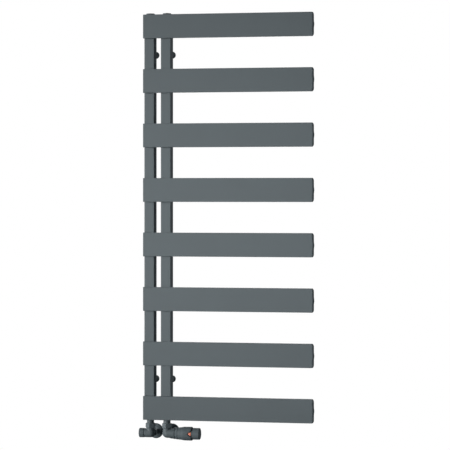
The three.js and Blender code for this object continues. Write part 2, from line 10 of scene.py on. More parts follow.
import bmesh
import bpy
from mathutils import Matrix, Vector


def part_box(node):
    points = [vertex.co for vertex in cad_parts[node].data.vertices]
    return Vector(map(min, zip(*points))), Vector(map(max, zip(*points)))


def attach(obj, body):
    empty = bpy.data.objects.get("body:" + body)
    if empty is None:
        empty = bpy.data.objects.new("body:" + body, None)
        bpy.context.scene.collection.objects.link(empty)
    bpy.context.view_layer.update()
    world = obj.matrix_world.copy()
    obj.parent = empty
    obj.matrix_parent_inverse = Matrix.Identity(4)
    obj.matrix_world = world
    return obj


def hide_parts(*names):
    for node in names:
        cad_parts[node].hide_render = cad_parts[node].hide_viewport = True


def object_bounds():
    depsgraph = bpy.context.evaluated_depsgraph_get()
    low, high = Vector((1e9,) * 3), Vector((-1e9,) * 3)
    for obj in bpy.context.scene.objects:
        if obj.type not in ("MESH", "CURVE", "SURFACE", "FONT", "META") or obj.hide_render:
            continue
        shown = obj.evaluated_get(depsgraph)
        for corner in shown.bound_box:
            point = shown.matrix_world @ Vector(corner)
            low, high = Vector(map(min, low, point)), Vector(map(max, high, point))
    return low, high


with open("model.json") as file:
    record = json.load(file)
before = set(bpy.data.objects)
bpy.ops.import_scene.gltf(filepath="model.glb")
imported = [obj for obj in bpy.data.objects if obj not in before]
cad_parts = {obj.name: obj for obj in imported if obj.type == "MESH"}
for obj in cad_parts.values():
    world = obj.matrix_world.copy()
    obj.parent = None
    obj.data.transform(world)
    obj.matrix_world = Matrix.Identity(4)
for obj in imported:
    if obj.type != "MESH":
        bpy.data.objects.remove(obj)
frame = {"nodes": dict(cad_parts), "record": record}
cad_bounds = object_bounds()

MM = 0.001
BODY_OF = {node: body for body, nodes in frame["record"]["behaviour"]["bodies"].items() for node in nodes}
COLOR_OF = {m["slot"]: tuple(m["base_color"]) for m in frame["record"]["materials"]}

# ---- Sizes, in millimetres ----

ROUND = 72  # sides of a turned piece
HEAD_ROUND = 120
SMALL_ROUND = 36
HOLE_ROUND = 24
WELD_ROUND = 12
ARC_STEPS = 4
SUPPORT = 1.0  # strip kept flat beside a rounded edge
SHARP_ANGLE = math.radians(33)
CAST_SHARP_ANGLE = math.radians(40)
WELD_SHARP_ANGLE = math.radians(80)
SEAT = 0.2  # gap that the CAD frame leaves between seated pieces
CENTRE_HOLE = 0.01  # so small that it closes the middle of a ring-shaped outline

PANEL = {"corner": 1.2, "rim": 0.5, "rim_arc": (0.0, 0.4, 0.8, 1.2, math.pi / 2), "mouth": 0.2}
END_CAP = {"reach": 5.5, "corner": 9.0, "crown_half": 12.0, "levels": 48, "arc": 20, "least": 0.05}
PANEL_WELD = {"radius": 1.15, "inset": 0.75, "ripple": 0.16, "ripple_pitch": 2.6, "end": 3.0, "step": 0.65}
COLLECTOR = {"corner": 1.5, "rim": 0.5, "end_plate": 12.0, "bore": 10.3, "wall": 1.5}

SEAL = {"width": 1.5, "edge": 0.3}
PLUG = {
    "edge": 1.1, "under_edge": 0.3, "shank": 10.0, "thread": 10.0, "lead": 0.5,
    "seal_room": 1.6,  # between the collector's end and the flange
    "socket": 5.8, "socket_fillet": 0.25, "socket_depth": 4.5, "socket_lead": 0.4, "socket_rim": 6.6,
    "socket_cone": 0.8,
}
BLEED = {
    "bore": 2.7, "counterbore": 3.9, "counterbore_depth": 1.4, "outlet": 0.8, "outlet_rise": 1.2,
    "outlet_reach": 20.0, "screw": 2.5, "nose": 0.8, "nose_fillet": 0.4, "head_edge": 0.35,
    "slot": 0.8, "slot_depth": 1.0,
}

BRACKET = {
    "sleeve": 9.0, "flange_depth": 10.0, "bore": 6.3, "floor": 5.0, "edge": 1.6, "lip": 0.8,
    "neck_fillet": 0.8, "bore_edge": 0.3, "screw_hole": 2.2,
    "grub_bore": 2.7, "grub_bore_from": 12.0, "grub_bore_to": 5.0, "grub_at": 30.0,
    "grub_socket": 1.3, "grub_socket_depth": 1.2, "grub_lead": 0.3,
    "boss": 9.0, "boss_rim": 0.6, "boss_depth": 4.0, "stud": 6.0, "weld": 1.6, "weld_toe": 0.8,
}

NIPPLE = {"collar": 11.2, "collar_to": 24.5, "neck": 10.5, "bore": 7.5, "thread": 10.0, "thread_length": 10.0}
UNION_NUT = {"bore": 11.7, "mouth": 10.8, "step": 24.9}  # the step is above the valve's axis
TAIL_NUT = {"bore": 11.4, "mouth": 7.9, "step": 26.0}  # the step is behind the valve's axis
NUT = {"corner_fillet": 0.9, "face": 0.94, "slope": math.tan(math.radians(30)), "edge": 0.4, "lead": 0.2}

BODY = {
    "ball": 13.4, "ball_steps": 24, "riser": 12.3, "riser_to": 14.5, "thread": 11.1, "thread_to": 20.4,
    "tail": 10.9, "tail_to": 19.9, "way": 6.0, "way_from": 9.8, "socket": 8.0, "socket_from": 14.2,
    "edge": 0.6, "voxel": 0.5, "smooth": 6, "past": 2.0,
}
LOCKSHIELD = {
    "barrel": [(17.0, 13.35)],
    "bore": [(-9.0, 6.5), (-3.0, 6.5), (-3.0, 5.0), (0.0, 5.0), (0.0, 8.5), (18.0, 8.5)],
    "insert": [(7.6, 8.2), (17.2, 8.2), (17.2, 10.4), (21.0, 10.4), (21.0, 6.0), (25.0, 6.0)],
    "insert_bore": 4.2, "insert_edge": 0.4,
    "spindle_edge": 0.3, "spindle_socket": 2.9, "spindle_socket_depth": 6.0, "spindle_socket_lead": 0.2,
    "spindle_socket_cone": 0.8,
    "cap_bore": 11.0, "cap_wall": 2.5, "cap_edge": 1.4, "cap_groove": 1.1, "cap_groove_width": 0.9,
}
THERMOSTAT = {
    "barrel": [(20.6, 13.9), (20.6, 13.3), (23.5, 13.3)],
    "bore": [
        (-9.0, 6.5), (-3.0, 6.5), (-3.0, 5.0), (0.0, 5.0), (0.0, 8.5), (18.0, 8.5),
        (18.0, 10.0), (24.6, 10.0),
    ],
}

PIPE = {"bore": 6.5}
ROSETTE = {"shoulder": 19.0, "shoulder_depth": 5.5, "crown": 12.0, "bore": 7.8, "wall": 1.4, "rim": 1.6}

COLLAR = {
    "bore": 13.8, "lip": 10.4, "lip_width": 1.8, "edge": 0.8, "drop": 1.2, "slope": 3.2,
    "groove": 0.4, "groove_half": 0.5,
}
SLEEVE = {
    "flange": 13.2, "flange_to": 25.6, "spigot": 10.0, "from": 28.2, "start": 17.1, "crest": 17.7,
    "groove_from": 34.4, "groove_to": 36.0, "groove": 16.7, "after_groove": 17.9,
    "waist_to": 45.0, "waist": 18.5, "flare_to": 52.0, "flare": 20.0,
    "way": 5.6, "floor": 36.0, "cavity": 14.2, "bore": 17.35, "bore_from": 52.0,
    "groove_fillet": 0.4, "waist_fillet": 0.4, "flare_fillet": 12.0, "mouth_fillet": 3.0,
    "notch_apex": 64.6, "notch_half": 10.4, "notch_floor": 17.55, "edge": 0.15, "past": 2.0,
}
MARKER = {"apex": 67.2, "half": 6.2, "floor": 17.65, "top": 19.0, "edge": 0.3, "past": 2.0}
KNOB = {"bore": 14.0, "wall": 5.0, "edge": 2.6, "dish": 0.5, "dish_radius": 12.5}

LEFT, RIGHT = -1, 1

CAMERA = {
    "azimuth": math.radians(13.0), "distance": 6.94, "lens": 190.3, "shift_down": 0.0696,
    "aim": Vector((0.2286, -0.08, 0.5491)),
}
FLOOR = {"drop": 0.25, "radius": 1.8, "fade_from": 0.7, "glow": 0.66}

# ---- Places ----


def spans(node):
    """A CAD node's lowest and highest corners, in millimetres."""
    low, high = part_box(node)
    return low / MM, high / MM


def middle(node):
    low, high = spans(node)
    return (low + high) / 2


def half_size(node):
    low, high = spans(node)
    return (high - low) / 2


# ---- Outlines and turned shapes ----


def rounded(points, closed=False, steps=ARC_STEPS):
    """The outline through (x, y, fillet) corners, each rounded, with a short flat strip beside it."""
    outline = []
    for i, (x, y, fillet) in enumerate(points):
        here = Vector((x, y))
        if fillet <= 0 or (not closed and i in (0, len(points) - 1)):
            outline.append(here)
            continue
        back = Vector(points[i - 1][:2]) - here
        ahead = Vector(points[(i + 1) % len(points)][:2]) - here
        half = back.angle(ahead) / 2
        reach = min(fillet / math.tan(half), 0.45 * back.length, 0.45 * ahead.length)
        radius = reach * math.tan(half)
        centre = here + (back.normalized() + ahead.normalized()).normalized() * radius / math.sin(half)
        first = here + back.normalized() * reach - centre
        last = here + ahead.normalized() * reach - centre
        sweep = first.angle_signed(last)
        if reach + SUPPORT < 0.45 * back.length:
            outline.append(here + back.normalized() * (reach + SUPPORT))
        for k in range(steps + 1):
            turn = -sweep * k / steps
            outline.append(centre + Vector((
                first.x * math.cos(turn) - first.y * math.sin(turn),
                first.x * math.sin(turn) + first.y * math.cos(turn),
            )))
        if reach + SUPPORT < 0.45 * ahead.length:
            outline.append(here + ahead.normalized() * (reach + SUPPORT))
    return outline


def circle_angles(sides=ROUND):
    return [2 * math.pi * k / sides for k in range(sides)]


def polygon(sides, corner, fillet, turn=0.0, arc_steps=3, face_steps=6):
    """Angles and radii of a regular polygon with rounded corners. Its first corner is at the angle turn."""
    half = math.pi / sides
    centre = corner - fillet / math.cos(half)
    reach = math.atan2(fillet * math.sin(half), centre + fillet * math.cos(half))
    apothem = corner * math.cos(half)
    angles, radii = [], []
    for k in range(sides):
        ahead = turn + 2 * half * k
        for s in range(-arc_steps, arc_steps + 1):
            t = reach * s / arc_steps
            angles.append(ahead + t)
            radii.append(centre * math.cos(t) + math.sqrt(fillet**2 - (centre * math.sin(t)) ** 2))
        for s in range(1, face_steps):
            t = reach + 2 * (half - reach) * s / face_steps
            angles.append(ahead + t)
            radii.append(apothem / math.cos(half - t))
    return angles, radii


TURNED_POINT = {
    "x": lambda along, radius, angle: (along, radius * math.sin(angle), radius * math.cos(angle)),
    "y": lambda along, radius, angle: (radius * math.sin(angle), along, radius * math.cos(angle)),
    "z": lambda along, radius, angle: (radius * math.sin(angle), -radius * math.cos(angle), along),
}


def each(value, count):
    """One value for each angle."""
    return value if isinstance(value, list) else [value] * count


def turned_rings(axis, centre, stations, angles):
    """Rings of points about an axis through centre. Each part of an (along, radius) station may be a list."""
    place = TURNED_POINT[axis]
    rings = []
    for along, radius in stations:
        if not isinstance(radius, list) and radius < 1e-6:
            rings.append([centre + Vector(place(along, 0, 0))])
            continue
        rows = zip(each(along, len(angles)), each(radius, len(angles)), angles)
        rings.append([centre + Vector(place(a, r, angle)) for a, r, angle in rows])
    return rings


def loft(mesh, rings, closed=False):
    """Joins each ring to the next in a bmesh. A ring of one point is a tip, and open ends are capped."""
    rows = [[mesh.verts.new(point) for point in ring] for ring in rings]
    pairs = list(zip(rows, rows[1:]))
    if closed:
        pairs.append((rows[-1], rows[0]))
    for a, b in pairs:
        count = max(len(a), len(b))
        for k in range(count):
            following = (k + 1) % count
            corners = [a[k % len(a)], a[following % len(a)], b[following % len(b)], b[k % len(b)]]
            mesh.faces.new(list(dict.fromkeys(corners)))
    if not closed:
        for row in (rows[0], rows[-1]):
            if len(row) > 2:
                mesh.faces.new(row)


def turned(mesh, axis, centre, stations, angles=None, closed=False):
    angles = angles or circle_angles()
    loft(mesh, turned_rings(axis, centre, stations, angles), closed)


def from_corners(corners):
    """Turned stations from (along, radius, fillet) corners of an open outline that ends on the axis."""
    return [(p.x, p.y) for p in rounded([(corners[0][0], 0, 0), *corners, (corners[-1][0], 0, 0)])]


def rod(start, end, radius):
    """Turned stations of a plain round rod."""
    return [(start, 0), (start, radius), (end, radius), (end, 0)]


def ring_from_corners(corners):
    """Turned stations from the (along, radius, fillet) corners of a closed outline."""
    return [(p.x, p.y) for p in rounded(corners, closed=True)]


# ---- From shapes to pieces ----


def mesh_object(name, mesh):
    """A Blender object, in metres, from a bmesh in millimetres, with its faces turned outwards."""
    bmesh.ops.remove_doubles(mesh, verts=mesh.verts, dist=1e-5)
    bmesh.ops.recalc_face_normals(mesh, faces=mesh.faces)
    bmesh.ops.scale(mesh, vec=(MM, MM, MM), verts=mesh.verts)
    data = bpy.data.meshes.new(name)
    mesh.to_mesh(data)
    mesh.free()
    obj = bpy.data.objects.new(name, data)
    bpy.context.scene.collection.objects.link(obj)
    return obj


def shaded(obj, angle=SHARP_ANGLE):
    obj.data.shade_smooth()
    obj.data.set_sharp_from_angle(angle=angle)
    return obj


def settle(obj):
    """Applies an object's modifiers to its mesh."""
    bpy.context.view_layer.update()
    evaluated = obj.evaluated_get(bpy.context.evaluated_depsgraph_get())
    data = bpy.data.meshes.new_from_object(evaluated)
    obj.modifiers.clear()
    obj.data = data
    return obj


def carve(obj, cutter, operation="DIFFERENCE"):
    """Cuts another object out of obj, and removes the other object."""
    cut = obj.modifiers.new("cut", "BOOLEAN")
    cut.operation = operation
    cut.solver = "EXACT"
    cut.object = cutter
    settle(obj)
    bpy.data.objects.remove(cutter)
    return obj


def soften(obj, width, segments=3):
    """Rounds the sharp edges of a carved object."""
    edge = obj.modifiers.new("edge", "BEVEL")
    edge.width = width * MM
    edge.segments = segments
    edge.limit_method = "ANGLE"
    edge.angle_limit = SHARP_ANGLE
    edge.harden_normals = False
    return settle(obj)


def place_piece(obj, slot, node=None, body=None):
    """Gives a piece its material and its body, and hides the CAD node that it stands for."""
    obj.data.materials.clear()
    obj.data.materials.append(MATERIALS[slot])
    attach(obj, body or BODY_OF[node])
    if node:
        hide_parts(node)
    return obj


def turned_piece(node, slot, axis, stations, angles=None, closed=False):
    """A piece turned about its CAD node's own middle line."""
    mesh = bmesh.new()
    base = middle(node)
    base["xyz".index(axis)] = 0
    turned(mesh, axis, base, stations, angles, closed)
    return place_piece(shaded(mesh_object(f"{node}_shape", mesh)), slot, node)


def cutter_object(axis, centre, stations, angles=None):
    mesh = bmesh.new()
    turned(mesh, axis, centre, stations, angles)
    return mesh_object("cutter", mesh)


# ---- Materials ----


def material_tree(slot, roughness, metallic=0.0):
    """A new material and its tree, its shader, and the object's own coordinates in metres."""
    material = bpy.data.materials.new(slot)
    material.use_nodes = True
    tree = material.node_tree
    shader = tree.nodes["Principled BSDF"]
    shader.inputs["Roughness"].default_value = roughness
    shader.inputs["Metallic"].default_value = metallic
    coordinates = tree.nodes.new("ShaderNodeTexCoord").outputs["Object"]
    return material, tree, shader, coordinates


def noise(tree, coordinates, scale, detail=3.0, stretch=None):
    """Noise from 0 to 1. The scale is in features per metre, and stretch squeezes it along each axis."""
    if stretch:
        mapping = tree.nodes.new("ShaderNodeMapping")
        mapping.inputs["Scale"].default_value = stretch
        tree.links.new(coordinates, mapping.inputs["Vector"])
        coordinates = mapping.outputs["Vector"]
    texture = tree.nodes.new("ShaderNodeTexNoise")
    texture.inputs["Scale"].default_value = scale
    texture.inputs["Detail"].default_value = detail
    tree.links.new(coordinates, texture.inputs["Vector"])
    return texture.outputs["Fac"]


def ranged(tree, value, low, high, from_low=0.3, from_high=0.7):
    """Maps a value onto the range from low to high."""
    range_node = tree.nodes.new("ShaderNodeMapRange")
    for name, number in (("From Min", from_low), ("From Max", from_high), ("To Min", low), ("To Max", high)):
        range_node.inputs[name].default_value = number
    tree.links.new(value, range_node.inputs["Value"])
    return range_node.outputs["Result"]


def arithmetic(tree, operation, a, b):
    math_node = tree.nodes.new("ShaderNodeMath")
    math_node.operation = operation
    for socket, value in zip(math_node.inputs, (a, b)):
        if isinstance(value, (int, float)):
            socket.default_value = value
        else:
            tree.links.new(value, socket)
    return math_node.outputs["Value"]


def edge_wear(tree, threshold=0.53, width=0.06):
    """1 on a convex edge and 0 on the flats, from the mesh's own curvature."""
    pointiness = tree.nodes.new("ShaderNodeNewGeometry").outputs["Pointiness"]
    return ranged(tree, pointiness, 0.0, 1.0, threshold, threshold + width)


def tinted(tree, color, brightness, wear=None, worn_color=None, wear_amount=0.5):
    """The base colour with its brightness varied, and another colour showing along worn edges."""
    vary = tree.nodes.new("ShaderNodeHueSaturation")
    vary.inputs["Color"].default_value = (*color, 1)
    tree.links.new(brightness, vary.inputs["Value"])
    if wear is None:
        return vary.outputs["Color"]
    mix = tree.nodes.new("ShaderNodeMix")
    mix.data_type = "RGBA"
    mix.inputs["B"].default_value = (*worn_color, 1)
    tree.links.new(arithmetic(tree, "MULTIPLY", wear, wear_amount), mix.inputs["Factor"])
    tree.links.new(vary.outputs["Color"], mix.inputs["A"])
    return mix.outputs["Result"]


def bumped(tree, height, distance, normal=None):
    """A bump normal. The distance is in millimetres, from the lowest to the highest point."""
    bump = tree.nodes.new("ShaderNodeBump")
    bump.inputs["Distance"].default_value = distance * MM
    bump.inputs["Strength"].default_value = 1.0
    tree.links.new(height, bump.inputs["Height"])
    if normal:
        tree.links.new(normal, bump.inputs["Normal"])
    return bump.outputs["Normal"]


def joined(tree, shader, color=None, roughness=None, normal=None):
    for name, value in (("Base Color", color), ("Roughness", roughness), ("Normal", normal)):
        if value:
            tree.links.new(value, shader.inputs[name])


def powder_coat():
    """Satin powder coat: orange peel under a fine grain, with thinner, paler film along the edges."""
    material, tree, shader, at = material_tree("powder_coat", 0.6)
    shader.inputs["Specular IOR Level"].default_value = 0.4
    cloud = noise(tree, at, 9, 2)
    speckle = noise(tree, at, 1500, 2)
    brightness = arithmetic(
        tree, "MULTIPLY", ranged(tree, cloud, 0.965, 1.035), ranged(tree, speckle, 0.95, 1.05),
    )
    base = COLOR_OF["powder_coat"]
    pale = tuple(1.5 * c for c in base)
    color = tinted(tree, base, brightness, edge_wear(tree), pale, 0.35)
    roughness = arithmetic(tree, "ADD", ranged(tree, cloud, 0.56, 0.64), ranged(tree, speckle, -0.03, 0.03))
    peel = bumped(tree, noise(tree, at, 420, 1), 0.035)
    grain = bumped(tree, speckle, 0.018, normal=peel)
    joined(tree, shader, color, roughness, grain)
    return material


def head_plastic():
    """Moulded plastic with a fine spark-eroded grain, polished a little where it is handled."""
    material, tree, shader, at = material_tree("head_plastic", 0.66)
    shader.inputs["Specular IOR Level"].default_value = 0.3
    cloud = noise(tree, at, 40, 3)
    grain = noise(tree, at, 2600, 2)
    base = COLOR_OF["head_plastic"]
    pale = tuple(1.4 * c for c in base)
    color = tinted(tree, base, ranged(tree, cloud, 1.08, 1.18), edge_wear(tree), pale, 0.3)
    roughness = arithmetic(tree, "ADD", ranged(tree, cloud, 0.62, 0.7), ranged(tree, grain, -0.03, 0.03))
    joined(tree, shader, color, roughness, bumped(tree, grain, 0.012))
    return material


def copper_marker():
    """Satin copper-orange plastic with a metallic flake. Its orange is lightened all over, partly as a
    painted highlight.
    """
    material, tree, shader, at = material_tree("copper_marker", 0.5, 0.3)
    flake = noise(tree, at, 5200, 1)
    cloud = noise(tree, at, 160, 2)
    brightness = arithmetic(
        tree, "MULTIPLY", ranged(tree, flake, 0.86, 1.14), ranged(tree, cloud, 0.95, 1.05),
    )
    # the marker's own orange, raised 1.22 times all over as a painted highlight that stands in for its glossy
    # shine
    orange_and_painted_highlight = tuple(1.22 * c for c in COLOR_OF["copper_marker"])
    color = tinted(tree, orange_and_painted_highlight, brightness)
    joined(tree, shader, color, ranged(tree, flake, 0.44, 0.56), bumped(tree, flake, 0.006))
    return material


def machined_metal(slot, roughness, tarnish_tone):
    """Turned metal: fine tool marks, a soft tarnish, and brighter worn edges."""
    material, tree, shader, at = material_tree(slot, roughness, 1.0)
    marks = noise(tree, at, 3200, 1, (1, 0.15, 0.15))
    tarnish = noise(tree, at, 110, 4)
    base = COLOR_OF[slot]
    bright = tuple(min(1.0, 1.3 * c) for c in base)
    brightness = arithmetic(
        tree, "MULTIPLY", ranged(tree, tarnish, tarnish_tone, 1.03), ranged(tree, marks, 0.95, 1.05),
    )
    color = tinted(tree, base, brightness, edge_wear(tree), bright, 0.5)
    rough = arithmetic(
        tree, "ADD",
        ranged(tree, tarnish, roughness - 0.07, roughness + 0.1), ranged(tree, marks, -0.03, 0.03),
    )
    joined(tree, shader, color, rough, bumped(tree, marks, 0.008))
    return material


def seal_rubber():
    """Dull rubber with a fine moulded grain and a dusty bloom."""
    material, tree, shader, at = material_tree("rubber", 0.75)
    bloom = noise(tree, at, 180, 4)
    grain = noise(tree, at, 2400, 2)
    color = tinted(tree, COLOR_OF["rubber"], ranged(tree, bloom, 0.8, 1.5))
    joined(tree, shader, color, ranged(tree, bloom, 0.68, 0.86), bumped(tree, grain, 0.02))
    return material


def capsule_plastic():
    """Pale moulded plastic of the sensor capsule."""
    material, tree, shader, at = material_tree("wax_capsule", 0.5)
    cloud = noise(tree, at, 60, 3)
    grain = noise(tree, at, 1800, 2)
    color = tinted(tree, COLOR_OF["wax_capsule"], ranged(tree, cloud, 0.94, 1.04))
    joined(tree, shader, color, ranged(tree, grain, 0.44, 0.56), bumped(tree, grain, 0.01))
    return material


MATERIALS = {
    "powder_coat": powder_coat(),
    "head_plastic": head_plastic(),
    "copper_marker": copper_marker(),
    "brass": machined_metal("brass", 0.3, 0.86),
    "steel": machined_metal("steel", 0.34, 0.92),
    "rubber": seal_rubber(),
    "wax_capsule": capsule_plastic(),
}

# ---- Panels and collectors ----


def panel_tube(node):
    """A flat tube with rounded long edges, a finely rounded left end and a right end that meets its cap."""
    low, high = spans(node)
    centre = (low + high) / 2
    depth, height = high.y - low.y, high.z - low.z
    corner = PANEL["corner"]
    section = rounded([
        (-depth / 2, -height / 2, corner), (depth / 2, -height / 2, corner),
        (depth / 2, height / 2, corner), (-depth / 2, height / 2, corner),
    ], closed=True)
    rim = PANEL["rim"]
    stations = [(low.x + rim * (1 - math.cos(t)), rim * (1 - math.sin(t))) for t in PANEL["rim_arc"]]
    stations += [
        (low.x + rim + SUPPORT, 0.0), (high.x - SUPPORT, 0.0),
        (high.x - PANEL["mouth"], 0.0), (high.x, PANEL["mouth"]),
    ]
    rings = []
    for x, inset in stations:
        tall, deep = 1 - 2 * inset / height, 1 - 2 * inset / depth
        rings.append([Vector((x, centre.y + p.x * deep, centre.z + p.y * tall)) for p in section])
    mesh = bmesh.new()
    loft(mesh, rings)
    place_piece(shaded(mesh_object(f"{node}_shape", mesh)), "powder_coat", node)


def cap_reach(z, half, crown_rise):
    """How far the end cap stands out at a height z from its middle: rounded corners and a shallow crown."""
    reach, corner, crown_half = END_CAP["reach"], END_CAP["corner"], END_CAP["crown_half"]
    past = max(0.0, abs(z) - (half - corner)) / corner
    crown = crown_rise * math.cos(math.pi / 2 * z / crown_half) ** 2 if abs(z) < crown_half else 0.0
    return reach * math.sqrt(max(0.0, 1 - past**2)) + crown


def end_cap(node):
    """The domed cap that closes a panel's right end."""
    low, high = spans(node)
    centre = (low + high) / 2
    half = (high.z - low.z) / 2
    depth = (high.y - low.y) / 2
    corner = PANEL["corner"]
    crown_rise = high.x - low.x - END_CAP["reach"]
    base = low.x - SEAT
    levels = END_CAP["levels"]
    rings = []
    for k in range(levels + 1):
        # the levels crowd towards the two ends, where the outline curves most
        z = half * math.sin(math.pi / 2 * (2 * k / levels - 1))
        past = max(0.0, abs(z) - (half - corner))
        across = depth - corner + math.sqrt(max(0.0, corner**2 - past**2))
        reach = max(END_CAP["least"], cap_reach(z, half, crown_rise)) + SEAT
        ring = []
        for s in range(END_CAP["arc"] + 1):
            turn = math.pi * (s / END_CAP["arc"] - 0.5)
            ring.append(Vector((
                base + PANEL["mouth"] + (reach - PANEL["mouth"]) * math.cos(turn),
                centre.y + across * math.sin(turn), centre.z + z,
            )))
        inner = across - PANEL["mouth"]
        ring += [Vector((base, centre.y + y, centre.z + z)) for y in (inner, -inner)]
        rings.append(ring)
    mesh = bmesh.new()
    loft(mesh, rings)
    place_piece(shaded(mesh_object(f"{node}_shape", mesh)), "powder_coat", node)


def collector(node):
    """A square tube with rounded edges and a bored plate in each end."""
    low, high = spans(node)
    side = high.x - low.x
    c = COLLECTOR
    diagonal = side / 2 * math.sqrt(2)
    angles, outer = polygon(4, diagonal, c["corner"], math.pi / 4, arc_steps=6, face_steps=10)
    inner = [r * (1 - 2 * c["wall"] / side) for r in outer]
    rim = [r - c["rim"] for r in outer]
    middle_rim = [r - 0.3 * c["rim"] for r in outer]
    edge = 0.7 * c["rim"]
    turned_piece(node, "powder_coat", "z", [
        (low.z, c["bore"]), (low.z, rim), (low.z + 0.3 * edge, middle_rim), (low.z + c["rim"], outer),
        (low.z + c["rim"] + SUPPORT, outer), (high.z - c["rim"] - SUPPORT, outer),
        (high.z - c["rim"], outer), (high.z - 0.3 * edge, middle_rim), (high.z, rim), (high.z, c["bore"]),
        (high.z - c["end_plate"], c["bore"]), (high.z - c["end_plate"], inner),
        (low.z + c["end_plate"], inner), (low.z + c["end_plate"], c["bore"]),
    ], angles, closed=True)


def panel_welds(collector_node, panel_nodes):
    """The painted weld beads in the two corners where each panel crosses a collector."""
    w = PANEL_WELD
    low, high = spans(collector_node)
    mesh = bmesh.new()
    for panel_node in panel_nodes:
        panel_low, panel_high = spans(panel_node)
        bottom = max(panel_low.z, low.z) + w["end"]
        top = min(panel_high.z, high.z) - w["end"]
        count = round((top - bottom) / w["step"])
        for x in (low.x + w["inset"], high.x - w["inset"]):
            centre = Vector((x, low.y + w["inset"], 0))
            stations = [(bottom - w["radius"], 0.0)]
            for k in range(count + 1):
                z = bottom + (top - bottom) * k / count
                ripple = w["ripple"] * math.sin(2 * math.pi * z / w["ripple_pitch"])
                stations.append((z, w["radius"] + ripple))
            stations.append((top + w["radius"], 0.0))
            turned(mesh, "z", centre, stations, circle_angles(WELD_ROUND))
    obj = shaded(mesh_object(f"{collector_node}_panel_welds", mesh), WELD_SHARP_ANGLE)
    place_piece(obj, "powder_coat", body=BODY_OF[collector_node])


# ---- Top plugs ----


def seal(node):
    low, high = spans(node)
    outer = half_size(node).x
    inner = outer - SEAL["width"]
    edge = SEAL["edge"]
    turned_piece(node, "rubber", "z", ring_from_corners([
        (low.z, inner, edge), (low.z, outer, edge), (high.z, outer, edge), (high.z, inner, edge),
    ]), closed=True)


def plug_outside(node):
    """Corners of a plug's flange and shank, from the shank's end to the flange's top edge."""
    p = PLUG
    low, high = spans(node)
    radius = half_size(node).x
    under = low.z + p["shank"] + p["seal_room"]
    return [
        (low.z, p["thread"] - p["lead"], 0.0), (low.z + p["lead"], p["thread"], 0.0),
        (under, p["thread"], 0.0), (under, radius, p["under_edge"]), (high.z, radius, p["edge"]),
    ]


def blind_plug(node):
    """A plug with a hexagon socket in its top."""
    p = PLUG
    low, high = spans(node)
    angles, hexagon = polygon(6, p["socket"], p["socket_fillet"], face_steps=8)
    corners = [(low.z, 0, 0), *plug_outside(node), (high.z, p["socket_rim"], 0)]
    outside = [(point.x, point.y) for point in rounded(corners)]
    floor = high.z - p["socket_depth"]
    turned_piece(node, "powder_coat", "z", [
        *outside, (high.z, [r + p["socket_lead"] for r in hexagon]), (high.z - p["socket_lead"], hexagon),
        (floor, hexagon), (floor - p["socket_cone"], 0.0),
    ], angles)


def air_vent(node, screw_node):
    """A plug bored for its bleed screw, with an outlet hole at the front."""
    low, high = spans(node)
    b = BLEED
    step = high.z - b["counterbore_depth"]
    corners = [
        *plug_outside(node), (high.z, b["counterbore"], 0.3), (step, b["counterbore"], 0.0),
        (step, b["bore"], 0.0), (low.z, b["bore"], 0.0),
    ]
    obj = turned_piece(node, "powder_coat", "z", ring_from_corners(corners), closed=True)
    centre = middle(node)
    outlet_at = Vector((centre.x, 0, low.z + PLUG["shank"] + PLUG["seal_room"] + b["outlet_rise"]))
    outlet_from, outlet_to = centre.y - b["outlet_reach"], centre.y - b["bore"]
    outlet = rod(outlet_from, outlet_to, b["outlet"])
    carve(obj, cutter_object("y", outlet_at, outlet, circle_angles(HOLE_ROUND)))
    shaded(obj)
    screw_low, screw_high = spans(screw_node)
    head = half_size(screw_node).x
    screw = turned_piece(screw_node, "brass", "z", from_corners([
        (screw_low.z, b["nose"], 0.0), (screw_low.z + b["screw"], b["screw"], b["nose_fillet"]),
        (step + SEAT, b["screw"], 0.0), (step + SEAT, head, 0.0), (screw_high.z, head, b["head_edge"]),
    ]), circle_angles(SMALL_ROUND))
    slot_mesh = bmesh.new()
    bmesh.ops.create_cube(slot_mesh, size=1.0)
    bmesh.ops.scale(slot_mesh, vec=(4 * head, 2 * b["slot"], 2 * b["slot_depth"]), verts=slot_mesh.verts)
    bmesh.ops.translate(slot_mesh, vec=Vector((centre.x, centre.y, screw_high.z)), verts=slot_mesh.verts)
    shaded(carve(screw, mesh_object("cutter", slot_mesh)))


# ---- Wall brackets ----


